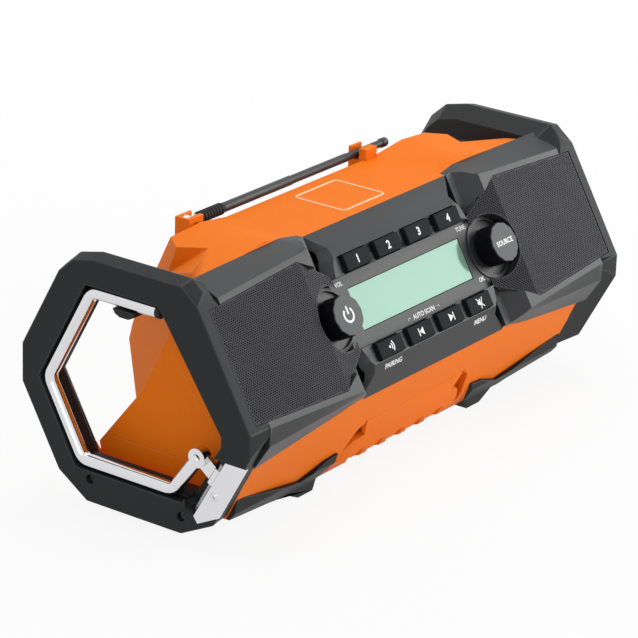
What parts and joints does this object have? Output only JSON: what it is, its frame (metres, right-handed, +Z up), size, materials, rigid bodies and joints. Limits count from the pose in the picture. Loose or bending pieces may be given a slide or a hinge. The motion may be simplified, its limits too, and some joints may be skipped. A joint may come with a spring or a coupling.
{
  "type": "jobsite radio",
  "caption": "Jobsite radio with hexagonal carry loops at both ends, a tilted control panel between two speakers, a fold-up antenna and a swing-out hanging hook.",
  "frame": {"origin": "on the ground under the middle of the radio's bounding box", "axes": "+X to the right of someone facing the controls, along the radio's length; -Y towards that person; +Z up"},
  "size_m": [0.4, 0.1778, 0.166],
  "materials": {
    "orange_shell": "satin",
    "dark_bumper": "textured",
    "grey_front": "textured",
    "black_mesh": "satin",
    "key_black": "matt",
    "knob_black": "satin",
    "cap_grey": "satin",
    "display_glass": "gloss",
    "display_panel": "backlit",
    "bright_steel": "polished",
    "plain_steel": "satin",
    "board_green": "satin",
    "cone_black": "matt",
    "magnet_dark": "dull",
    "pack_black": "textured",
    "contact_brass": "satin",
    "soft_rubber": "matt"
  },
  "bodies": {
    "case": {"antenna_bracket": "orange_shell", "antenna_clip": "orange_shell", "antenna_pin": "plain_steel", "battery_bay": "knob_black", "battery_pack": "pack_black", "battery_terminals": "contact_brass", "case_screws": "plain_steel", "control_panel": "grey_front", "display_module": "display_panel", "display_window": "display_glass", "door_hinge_pin": "plain_steel", "encoder_housings": "plain_steel", "hook_clip": "dark_bumper", "hook_pin": "plain_steel", "hook_plate": "bright_steel", "hook_screw": "plain_steel", "jack_block": "knob_black", "jack_cover_pin": "plain_steel", "key_board": "board_green", "left_base_rail": "dark_bumper", "left_grille": "black_mesh", "left_loop": "dark_bumper", "left_speaker_basket": "plain_steel", "left_speaker_cone": "cone_black", "left_speaker_frame": "grey_front", "loop_screws": "plain_steel", "lower_shell": "orange_shell", "main_board": "board_green", "rear_feet": "soft_rubber", "rear_shell": "orange_shell", "right_base_rail": "dark_bumper", "right_grille": "black_mesh", "right_loop": "dark_bumper", "right_speaker_basket": "plain_steel", "right_speaker_cone": "cone_black", "right_speaker_frame": "grey_front", "speaker_magnets": "magnet_dark"},
    "volume_rotor": {"volume_detent": "contact_brass"},
    "volume_push": {"volume_knob": "knob_black", "volume_cap": "cap_grey", "volume_shaft": "plain_steel"},
    "tuning_rotor": {"tuning_detent": "contact_brass"},
    "tuning_push": {"tuning_knob": "knob_black", "tuning_cap": "cap_grey", "tuning_shaft": "plain_steel"},
    "antenna": {"antenna_knuckle": "bright_steel", "antenna_sleeve": "soft_rubber", "antenna_rod": "pack_black"},
    "hook": {"hook_rod": "bright_steel", "hook_eye": "bright_steel"},
    "door": {"battery_door": "orange_shell"},
    "socket_cover": {"jack_cover": "soft_rubber"},
    "button_one": {"key_one": "key_black"},
    "button_two": {"key_two": "key_black"},
    "button_three": {"key_three": "key_black"},
    "button_four": {"key_four": "key_black"},
    "button_pairing": {"key_pairing": "key_black"},
    "button_back": {"key_back": "key_black"},
    "button_next": {"key_next": "key_black"},
    "button_mute": {"key_mute": "key_black"}
  },
  "joints": [
    {"name": "volume_turn", "type": "hinge", "parent": "case", "child": "volume_rotor", "pos_m": [-0.0844, -0.06606, 0.11883], "axis": [0, -0.866, 0.5], "continuous": true},
    {"name": "volume_press", "type": "slide", "parent": "volume_rotor", "child": "volume_push", "axis": [0, 0.866, -0.5], "range_m": [0, 0.001], "stiffness_N_per_m": 2500, "springref_m": -0.0003},
    {"name": "tuning_turn", "type": "hinge", "parent": "case", "child": "tuning_rotor", "pos_m": [0.0844, -0.06606, 0.11883], "axis": [0, -0.866, 0.5], "continuous": true},
    {"name": "tuning_press", "type": "slide", "parent": "tuning_rotor", "child": "tuning_push", "axis": [0, 0.866, -0.5], "range_m": [0, 0.001], "stiffness_N_per_m": 2500, "springref_m": -0.0003},
    {"name": "one_press", "type": "slide", "parent": "case", "child": "button_one", "axis": [0, 0.866, -0.5], "range_m": [0, 0.0008], "stiffness_N_per_m": 1500, "springref_m": -0.0003},
    {"name": "two_press", "type": "slide", "parent": "case", "child": "button_two", "axis": [0, 0.866, -0.5], "range_m": [0, 0.0008], "stiffness_N_per_m": 1500, "springref_m": -0.0003},
    {"name": "three_press", "type": "slide", "parent": "case", "child": "button_three", "axis": [0, 0.866, -0.5], "range_m": [0, 0.0008], "stiffness_N_per_m": 1500, "springref_m": -0.0003},
    {"name": "four_press", "type": "slide", "parent": "case", "child": "button_four", "axis": [0, 0.866, -0.5], "range_m": [0, 0.0008], "stiffness_N_per_m": 1500, "springref_m": -0.0003},
    {"name": "pairing_press", "type": "slide", "parent": "case", "child": "button_pairing", "axis": [0, 0.866, -0.5], "range_m": [0, 0.0008], "stiffness_N_per_m": 1500, "springref_m": -0.0003},
    {"name": "back_press", "type": "slide", "parent": "case", "child": "button_back", "axis": [0, 0.866, -0.5], "range_m": [0, 0.0008], "stiffness_N_per_m": 1500, "springref_m": -0.0003},
    {"name": "next_press", "type": "slide", "parent": "case", "child": "button_next", "axis": [0, 0.866, -0.5], "range_m": [0, 0.0008], "stiffness_N_per_m": 1500, "springref_m": -0.0003},
    {"name": "mute_press", "type": "slide", "parent": "case", "child": "button_mute", "axis": [0, 0.866, -0.5], "range_m": [0, 0.0008], "stiffness_N_per_m": 1500, "springref_m": -0.0003},
    {"name": "antenna_fold", "type": "hinge", "parent": "case", "child": "antenna", "pos_m": [-0.106, 0.0354, 0.161], "axis": [0, -1, 0], "range_deg": [0, 90]},
    {"name": "hook_swing", "type": "hinge", "parent": "case", "child": "hook", "pos_m": [-0.1945, -0.0548, 0.0442], "axis": [0, -0.4879, 0.8729], "range_deg": [0, 90]},
    {"name": "door_open", "type": "hinge", "parent": "case", "child": "door", "pos_m": [0, -0.0622, 0.04029], "axis": [-1, 0, 0], "range_deg": [0, 75]},
    {"name": "cover_open", "type": "hinge", "parent": "case", "child": "socket_cover", "pos_m": [0.07, 0.053, 0.0774], "axis": [-1, 0, 0], "range_deg": [0, 90]}
  ]
}
